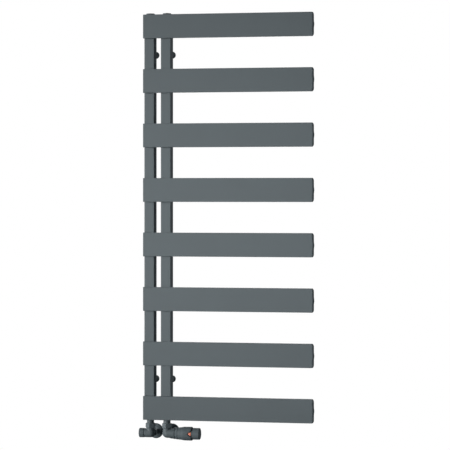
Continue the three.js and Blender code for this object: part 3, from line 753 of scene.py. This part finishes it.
def bracket(prefix):
    """A wall socket with a flange, the stud that the collector slides into it, and the grub screw below."""
    b = BRACKET
    sleeve_node, stud_node, grub_node = (f"{prefix}_{part}" for part in ("sleeve", "stud", "grub_screw"))
    low, high = spans(sleeve_node)
    flange = half_size(sleeve_node).x
    face = high.y - b["flange_depth"]
    floor = high.y - b["floor"]
    sleeve = turned_piece(sleeve_node, "powder_coat", "y", ring_from_corners([
        (high.y, flange, 0.0), (face, flange, b["edge"]), (face, b["sleeve"], b["neck_fillet"]),
        (low.y, b["sleeve"], b["lip"]), (low.y, b["bore"], b["bore_edge"]), (floor, b["bore"], 0.0),
        (floor, b["screw_hole"], 0.0), (high.y, b["screw_hole"], 0.0),
    ]), closed=True)
    centre = middle(sleeve_node)
    grub_bore = rod(centre.z - b["grub_bore_from"], centre.z - b["grub_bore_to"], b["grub_bore"])
    grub_at = Vector((centre.x, -b["grub_at"], 0))
    shaded(carve(sleeve, cutter_object("z", grub_at, grub_bore, circle_angles(SMALL_ROUND))))

    stud_low, stud_high = spans(stud_node)
    boss_to = stud_low.y + b["boss_depth"]
    turned_piece(stud_node, "powder_coat", "y", from_corners([
        (stud_low.y - SEAT, b["boss"], 0.0), (stud_low.y + b["boss_rim"], b["boss"], 0.5),
        (boss_to - b["weld_toe"], b["stud"] + b["weld"], 1.0), (boss_to, b["stud"], 0.6),
        (stud_high.y, b["stud"], 0.6),
    ]))

    grub_low, grub_high = spans(grub_node)
    angles, hexagon = polygon(6, b["grub_socket"], 0.1, arc_steps=1, face_steps=4)
    grub, lead, socket_to = half_size(grub_node).x, b["grub_lead"], grub_low.z + b["grub_socket_depth"]
    turned_piece(grub_node, "steel", "z", [
        (grub_high.z, 0.0), (grub_high.z, grub), (grub_low.z + lead, grub), (grub_low.z, grub - lead),
        (grub_low.z, hexagon), (socket_to, hexagon), (socket_to, 0.0),
    ], angles)


# ---- What both valves share ----


def nut(node, axis, sizes, axis_zero):
    """A hexagon nut: rounded corners, 30 degree chamfers, and a bore that narrows to its mouth."""
    low, high = spans(node)
    at = "xyz".index(axis)
    corner = max(half_size(node)[k] for k in range(3) if k != at)
    angles, hexagon = polygon(6, corner, NUT["corner_fillet"], face_steps=12)
    edge = NUT["edge"]
    chamfer_from = NUT["face"] * corner * math.cos(math.pi / 6)
    drop = [NUT["slope"] * (r - chamfer_from) for r in hexagon]
    first, last = low[at], high[at]
    step = axis_zero + sizes["step"]
    rise = [first + d for d in drop]
    fall = [last - d for d in drop]
    turned_piece(node, "powder_coat", axis, [
        (first, chamfer_from), (rise, hexagon), (fall, hexagon), (last, chamfer_from),
        (last, sizes["mouth"] + edge), (last - edge, sizes["mouth"]), (step, sizes["mouth"]),
        (step, sizes["bore"]), (first + edge, sizes["bore"]), (first, sizes["bore"] + NUT["lead"]),
    ], angles, closed=True)


def nipple(node, axis_zero):
    """The tailpiece: a collar inside the nut, a neck, and the thread inside the collector."""
    n = NIPPLE
    low, high = spans(node)
    face = high.z - n["thread_length"]
    turned_piece(node, "powder_coat", "z", ring_from_corners([
        (low.z, n["bore"], 0.0), (low.z, n["collar"], 0.4), (axis_zero + n["collar_to"], n["collar"], 0.4),
        (axis_zero + n["collar_to"], n["neck"], 0.4), (face - SEAT, n["neck"], 0.5),
        (face - SEAT, n["thread"], 0.0), (high.z, n["thread"], 0.5), (high.z, n["bore"], 0.0),
    ]), closed=True)


def pipe(node):
    low, high = spans(node)
    radius = half_size(node).x
    turned_piece(node, "powder_coat", "y", ring_from_corners([
        (low.y, PIPE["bore"], 0.0), (low.y, radius, 0.4), (high.y, radius, 0.3), (high.y, PIPE["bore"], 0.0),
    ]), closed=True)


def rosette(node):
    """A thin dished cover with a rolled rim, a rounded shoulder and a collar round the pipe."""
    r = ROSETTE
    low, high = spans(node)
    radius = half_size(node).x
    wall, shoulder_y = r["wall"], high.y - r["shoulder_depth"]
    turned_piece(node, "powder_coat", "y", ring_from_corners([
        (high.y, radius - wall, 0.3), (high.y, radius, 0.3), (high.y - r["rim"], radius, 0.9),
        (shoulder_y, r["shoulder"], 2.5), (low.y, r["crown"], 2.5), (low.y, r["bore"], 0.5),
        (low.y + wall, r["bore"], 0.0), (low.y + wall, r["crown"] - 0.3, 0.0),
        (shoulder_y + wall, r["shoulder"] - wall, 1.0), (high.y - r["rim"], radius - 1.5 * wall, 0.4),
    ]), closed=True)


def valve_body(node, zero, side, shape):
    """The cast corner body: riser, barrel and tail blended round a ball, then bored."""
    b = BODY
    edge = b["edge"]
    mesh = bmesh.new()
    turns = [math.pi * k / b["ball_steps"] for k in range(b["ball_steps"] + 1)]
    ball = [(b["ball"] * math.cos(t), b["ball"] * math.sin(t)) for t in turns]
    turned(mesh, "z", zero, ball)
    turned(mesh, "z", zero, from_corners([
        (0, b["riser"], 0), (b["riser_to"], b["riser"], edge), (b["riser_to"], b["thread"], 0),
        (b["thread_to"], b["thread"], edge),
    ]))
    barrel = [(0.0, shape["barrel"][0][1]), *shape["barrel"]]
    turned(mesh, "x", zero, [(side * a, r) for a, r in from_corners([(a, r, edge) for a, r in barrel])])
    turned(mesh, "y", zero, from_corners([(0, b["tail"], 0), (b["tail_to"], b["tail"], edge)]))
    obj = mesh_object(f"{node}_shape", mesh)
    fuse = obj.modifiers.new("fuse", "REMESH")
    fuse.mode = "VOXEL"
    fuse.voxel_size = b["voxel"] * MM
    fuse.use_smooth_shade = True
    blend = obj.modifiers.new("blend", "CORRECTIVE_SMOOTH")
    blend.factor = 0.5
    blend.iterations = b["smooth"]
    blend.smooth_type = "LENGTH_WEIGHTED"
    blend.use_only_smooth = True
    settle(obj)

    bore = [(side * a, r) for a, r in shape["bore"]]
    carve(obj, cutter_object("x", zero, [(bore[0][0], 0), *bore, (bore[-1][0], 0)]))
    carve(obj, cutter_object("z", zero, rod(b["way_from"], b["thread_to"] + b["past"], b["way"])))
    tail_end = b["tail_to"] + b["past"]
    carve(obj, cutter_object("y", zero, [
        (b["way_from"], 0), (b["way_from"], b["way"]), (b["socket_from"], b["way"]),
        (b["socket_from"], b["socket"]), (tail_end, b["socket"]), (tail_end, 0),
    ]))
    place_piece(shaded(obj, CAST_SHARP_ANGLE), "powder_coat", node)


def connections(valve, pipe_name):
    """The nuts, tailpiece, pipe and rosette of one valve. Returns where the valve's axes cross."""
    nut_at, tail_at = middle(f"{valve}_union_nut"), middle(f"{valve}_tail_nut")
    zero = Vector((nut_at.x, nut_at.y, tail_at.z))
    nut(f"{valve}_union_nut", "z", UNION_NUT, zero.z)
    nut(f"{valve}_tail_nut", "y", TAIL_NUT, zero.y)
    nipple(f"{valve}_nipple", zero.z)
    pipe(f"{pipe_name}_pipe")
    rosette(f"{pipe_name}_rosette")
    return zero


# ---- Lockshield valve ----


def lockshield_valve():
    v = LOCKSHIELD
    zero = connections("lockshield", "return")
    valve_body("lockshield_body", zero, LEFT, v)

    insert = [(zero.x - a, r, v["insert_edge"]) for a, r in v["insert"]]
    inner = [(insert[-1][0], v["insert_bore"], 0.2), (insert[0][0], v["insert_bore"], 0.0)]
    turned_piece("lockshield_insert", "brass", "x", ring_from_corners([*insert, *inner]), closed=True)

    low, high = spans("lockshield_spindle")
    angles, hexagon = polygon(6, v["spindle_socket"], 0.15, arc_steps=1, face_steps=5)
    radius, edge, lead = half_size("lockshield_spindle").z, v["spindle_edge"], v["spindle_socket_lead"]
    floor = low.x + v["spindle_socket_depth"]
    turned_piece("lockshield_spindle", "brass", "x", [
        (high.x, 0.0), (high.x, radius - edge), (high.x - edge, radius), (low.x + edge, radius),
        (low.x, radius - edge), (low.x, [r + lead for r in hexagon]), (low.x + lead, hexagon),
        (floor, hexagon), (floor + v["spindle_socket_cone"], 0.0),
    ], angles)

    low, high = spans("lockshield_cap")
    radius = half_size("lockshield_cap").z
    groove, floor = v["cap_groove"], low.x + v["cap_wall"]
    groove_end = high.x - v["cap_groove_width"]
    turned_piece("lockshield_cap", "head_plastic", "x", ring_from_corners([
        (high.x, v["cap_bore"], 0.2), (high.x, radius - groove, 0.2), (groove_end, radius - groove, 0.0),
        (groove_end - 0.3, radius, 0.3), (low.x, radius, v["cap_edge"]), (low.x, CENTRE_HOLE, 0.0),
        (floor, CENTRE_HOLE, 0.0), (floor, v["cap_bore"], 0.4),
    ]), closed=True)


# ---- Thermostatic valve and head ----


def wedge_cutter(zero, apex, end, half, out):
    """A triangular prism with its point at apex and its mouth at end, across the front of the head."""
    mesh = bmesh.new()
    corners = [(apex, 0.0), (end, -half), (end, half)]
    loft(mesh, [[zero + Vector((x, y, z)) for x, z in corners] for y in (-out, 0.0)])
    return mesh_object("cutter", mesh)


def head_sleeve(zero):
    """The fixed sleeve: a flared shell with a V-shaped recess at the front of its mouth."""
    s = SLEEVE
    node = "head_sleeve"
    low, high = spans(node)
    radius = half_size(node).z
    end = high.x - zero.x
    outline = ring_from_corners([
        (low.x - zero.x, s["flange"], 0.0), (s["flange_to"], s["flange"], 0.0),
        (s["flange_to"], s["spigot"], 0.0), (s["from"], s["spigot"], 0.0), (s["from"], s["start"], 0.0),
        (s["groove_from"], s["crest"], s["groove_fillet"]),
        (s["groove_from"], s["groove"], s["groove_fillet"]),
        (s["groove_to"], s["groove"], 0.0), (s["groove_to"], s["after_groove"], 0.0),
        (s["waist_to"], s["waist"], s["waist_fillet"]), (s["flare_to"], s["flare"], s["flare_fillet"]),
        (end, radius, s["mouth_fillet"]), (end, s["bore"], 0.0), (s["bore_from"], s["bore"], 0.0),
        (s["bore_from"], s["cavity"], 0.0), (s["floor"], s["cavity"], 0.0), (s["floor"], s["way"], 0.0),
        (low.x - zero.x, s["way"], 0.0),
    ])
    mesh = bmesh.new()
    turned(mesh, "x", zero, outline, circle_angles(HEAD_ROUND), closed=True)
    obj = mesh_object(f"{node}_shape", mesh)
    apex, past = s["notch_apex"], s["past"]
    slope = s["notch_half"] / (end - apex)
    notch = wedge_cutter(zero, apex, end + past, slope * (end + past - apex), radius + past)
    core = rod(apex - past, end + 2 * past, s["notch_floor"])
    carve(obj, carve(notch, cutter_object("x", zero, core, circle_angles(HEAD_ROUND))))
    place_piece(shaded(soften(obj, s["edge"], 2)), "head_plastic", node)


def head_marker(zero):
    """The triangular pointer that lies in the recess."""
    m = MARKER
    node = "head_marker"
    apex, top, past = m["apex"], m["top"], m["past"]
    end = spans(node)[1].x - zero.x
    obj = wedge_cutter(zero, apex, end, m["half"], top + past)
    obj.name = obj.data.name = f"{node}_shape"
    shell = bmesh.new()
    turned(shell, "x", zero, [
        (apex - past, m["floor"]), (apex - past, top), (end + past, top), (end + past, m["floor"]),
    ], circle_angles(HEAD_ROUND), closed=True)
    carve(obj, mesh_object("cutter", shell), "INTERSECT")
    place_piece(shaded(soften(obj, m["edge"], 4)), "copper_marker", node)


def head_knob():
    """The turning knob: a plain round cup with a soft end edge and a shallow dish in its face."""
    k = KNOB
    node = "head_knob"
    low, high = spans(node)
    radius = half_size(node).z
    inner = high.x - k["wall"]
    dish = high.x - k["dish"]
    turned_piece(node, "head_plastic", "x", ring_from_corners([
        (low.x, k["bore"], 0.3), (low.x, radius, 0.3), (high.x, radius, k["edge"]),
        (high.x, k["dish_radius"], 0.3), (dish, k["dish_radius"] - k["dish"], 0.3), (dish, CENTRE_HOLE, 0.0),
        (inner, CENTRE_HOLE, 0.0), (inner, k["bore"], 0.5),
    ]), circle_angles(HEAD_ROUND), closed=True)


def head_collar():
    """The union collar that clamps the head on the valve: a fine groove round it and a sloping front end."""
    c = COLLAR
    node = "head_collar_nut"
    low, high = spans(node)
    radius = half_size(node).z
    centre = (low.x + high.x) / 2
    lip = high.x - c["lip_width"]
    turned_piece(node, "powder_coat", "x", ring_from_corners([
        (low.x, c["bore"], 0.3), (low.x, radius, c["edge"]),
        (centre - c["groove_half"], radius, 0.15), (centre, radius - c["groove"], 0.15),
        (centre + c["groove_half"], radius, 0.15), (high.x - c["slope"], radius, 0.3),
        (high.x, radius - c["drop"], 0.2), (high.x, c["lip"], 0.3),
        (lip, c["lip"], 0.0), (lip, c["bore"], 0.0),
    ]), closed=True)


def thermostatic_valve():
    zero = connections("thermostatic", "supply")
    valve_body("thermostatic_body", zero, RIGHT, THERMOSTAT)
    head_collar()
    head_sleeve(zero)
    head_marker(zero)
    head_knob()


# ---- Pieces whose CAD shape stays ----

KEPT = {
    "lockshield_disc": "rubber",
    "thermostatic_insert": "brass",
    "thermostatic_pin": "steel",
    "thermostatic_spring": "steel",
    "head_sensor": "wax_capsule",
}


def keep_cad_shapes():
    for node, slot in KEPT.items():
        obj = frame["nodes"][node]
        obj.data.materials.clear()
        obj.data.materials.append(MATERIALS[slot])


# ---- Studio ----


def add_camera():
    """A level camera to the right of the front, whose picture reaches further down than up."""
    data = bpy.data.cameras.new("camera")
    data.lens = CAMERA["lens"]
    data.shift_y = -CAMERA["shift_down"]
    camera = bpy.data.objects.new("camera", data)
    azimuth = CAMERA["azimuth"]
    away = Vector((math.sin(azimuth), -math.cos(azimuth), 0))
    camera.location = CAMERA["aim"] + CAMERA["distance"] * away
    camera.rotation_euler = (math.pi / 2, 0, azimuth)
    bpy.context.scene.collection.objects.link(camera)
    bpy.context.scene.camera = camera


def add_softbox(name, azimuth, elevation, distance, width, height, power, spread=180, aim=(0, 0, 0)):
    """An area light that faces aim away from the object's middle. Azimuth 0 is in front, 90 to the right."""
    data = bpy.data.lights.new(name, "AREA")
    data.shape = "RECTANGLE"
    data.size, data.size_y = width, height
    data.energy = power
    data.spread = math.radians(spread)
    light = bpy.data.objects.new(name, data)
    a, e = math.radians(azimuth), math.radians(elevation)
    away = Vector((math.sin(a) * math.cos(e), -math.cos(a) * math.cos(e), math.sin(e)))
    low, high = cad_bounds
    light.location = (low + high) / 2 + Vector(aim) + distance * away
    light.rotation_mode = "QUATERNION"
    light.rotation_quaternion = (-away).to_track_quat("-Z", "Y")
    bpy.context.scene.collection.objects.link(light)


def add_floor():
    """A round pale floor that fades into the white background."""
    low, high = cad_bounds
    mesh = bmesh.new()
    bmesh.ops.create_circle(mesh, cap_ends=True, segments=128, radius=FLOOR["radius"])
    data = bpy.data.meshes.new("floor")
    mesh.to_mesh(data)
    mesh.free()
    floor = bpy.data.objects.new("floor", data)
    floor.location = ((low.x + high.x) / 2, (low.y + high.y) / 2, low.z - FLOOR["drop"])
    bpy.context.scene.collection.objects.link(floor)
    floor.visible_diffuse = floor.visible_glossy = False

    material = bpy.data.materials.new("floor")
    material.use_nodes = True
    tree = material.node_tree
    shader = tree.nodes["Principled BSDF"]
    shader.inputs["Base Color"].default_value = (0.82, 0.82, 0.81, 1)
    shader.inputs["Roughness"].default_value = 0.7
    shader.inputs["Emission Color"].default_value = (1, 1, 0.99, 1)
    shader.inputs["Emission Strength"].default_value = FLOOR["glow"]
    white = tree.nodes.new("ShaderNodeEmission")
    white.inputs["Color"].default_value = (1, 1, 1, 1)
    distance = tree.nodes.new("ShaderNodeVectorMath")
    distance.operation = "LENGTH"
    tree.links.new(tree.nodes.new("ShaderNodeTexCoord").outputs["Object"], distance.inputs[0])
    fade = ranged(tree, distance.outputs["Value"], 0.0, 1.0, FLOOR["fade_from"], FLOOR["radius"])
    mix = tree.nodes.new("ShaderNodeMixShader")
    tree.links.new(fade, mix.inputs["Fac"])
    tree.links.new(shader.outputs["BSDF"], mix.inputs[1])
    tree.links.new(white.outputs["Emission"], mix.inputs[2])
    tree.links.new(mix.outputs["Shader"], tree.nodes["Material Output"].inputs["Surface"])
    data.materials.append(material)


def add_world():
    """A white background, and a much weaker even light from all round."""
    world = bpy.data.worlds.new("studio")
    world.use_nodes = True
    bpy.context.scene.world = world
    tree = world.node_tree
    light = tree.nodes["Background"]
    light.inputs["Color"].default_value = (0.86, 0.98, 1.05, 1)
    light.inputs["Strength"].default_value = 0.085
    seen = tree.nodes.new("ShaderNodeBackground")
    seen.inputs["Color"].default_value = (1, 1, 1, 1)
    mix = tree.nodes.new("ShaderNodeMixShader")
    tree.links.new(tree.nodes.new("ShaderNodeLightPath").outputs["Is Camera Ray"], mix.inputs["Fac"])
    tree.links.new(light.outputs["Background"], mix.inputs[1])
    tree.links.new(seen.outputs["Background"], mix.inputs[2])
    tree.links.new(mix.outputs["Shader"], tree.nodes["World Output"].inputs["Surface"])


# ---- The whole radiator ----

PANELS = [f"panel_{k}" for k in range(1, 9)]
COLLECTORS = ["collector_left", "collector_right"]

for panel in PANELS:
    panel_tube(panel)
    end_cap(panel.replace("panel_", "panel_end_cap_"))
for tube in COLLECTORS:
    collector(tube)
    panel_welds(tube, PANELS)
for ring in ("blind_plug_seal", "air_vent_seal"):
    seal(ring)
blind_plug("blind_plug")
air_vent("air_vent_body", "air_vent_screw")
for level in ("lower", "upper"):
    for side_name in ("left", "right"):
        bracket(f"bracket_{level}_{side_name}")
lockshield_valve()
thermostatic_valve()
keep_cad_shapes()

add_camera()
add_softbox(
    "key", azimuth=-46, elevation=4, distance=5.0, width=2.0, height=1.9, power=14.0, spread=24.5,
    aim=(-0.12, 0, -0.03),
)
add_softbox("rim", azimuth=118, elevation=4, distance=3.0, width=1.0, height=2.0, power=14)
add_softbox("back", azimuth=195, elevation=4, distance=3.0, width=1.6, height=1.6, power=30)
add_floor()
add_world()
bpy.context.scene.view_settings.view_transform = "Standard"
